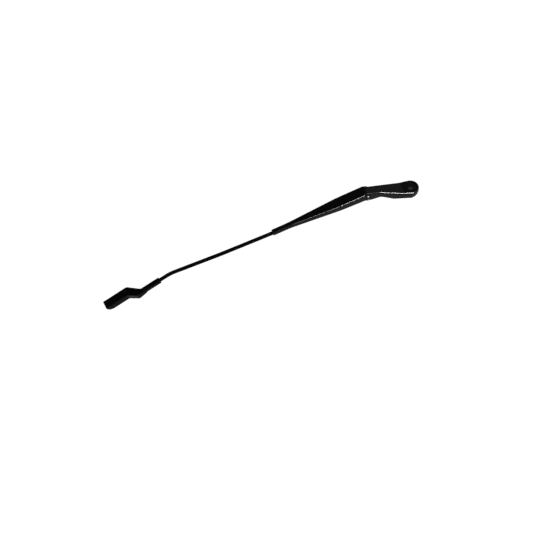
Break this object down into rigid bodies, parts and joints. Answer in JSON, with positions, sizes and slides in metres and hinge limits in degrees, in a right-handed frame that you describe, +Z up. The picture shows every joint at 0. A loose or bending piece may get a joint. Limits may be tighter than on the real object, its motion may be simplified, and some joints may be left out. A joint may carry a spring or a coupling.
{
  "type": "wiper arm",
  "caption": "Black front wiper arm: cast spindle head, sprung hinged channel, bent round rod and a jogged folded carrier for the blade.",
  "frame": {"origin": "on the wiper spindle's axis, level with the underside of the head's boss", "axes": "+Z up along the spindle, the arm reaches towards -X, the hinge pin lies along Y"},
  "size_m": [0.5924, 0.0344, 0.1574],
  "materials": {
    "head_paint": "satin gloss black coat on a die casting",
    "sheet_paint": "satin black coat on pressed sheet",
    "rod_paint": "satin black coat on drawn rod",
    "carrier_paint": "satin black coat on folded sheet",
    "pin_steel": "plain zinc-grey steel",
    "link_steel": "phosphated steel strip",
    "spring_steel": "oiled spring wire",
    "bush_polymer": "dark moulded bearing polymer"
  },
  "bodies": {
    "head": {"mounting_head": "head_paint", "hinge_bush_front": "bush_polymer", "hinge_bush_rear": "bush_polymer", "link_pin": "pin_steel"},
    "arm": {"arm_channel": "sheet_paint", "arm_rod": "rod_paint", "blade_carrier": "carrier_paint", "hinge_pin": "pin_steel"},
    "link": {"spring_link": "link_steel", "tension_spring": "spring_steel"}
  },
  "joints": [
    {"name": "arm_lift", "type": "hinge", "parent": "head", "child": "arm", "pos_m": [-0.0797, 0.0066, 0.0166], "axis": [0, 1, 0], "range_deg": [0, 80], "stiffness_Nm_per_rad": 1.2, "springref_deg": -85.94, "deforming": ["tension_spring"]},
    {"name": "link_swing", "type": "hinge", "parent": "head", "child": "link", "pos_m": [-0.0782, 0.0066, 0.0091], "axis": [0, 1, 0], "range_deg": [0, 77.2]}
  ],
  "couplings": [
    {"joint": "link_swing", "follows": "arm_lift", "ratio": 0.95837}
  ]
}
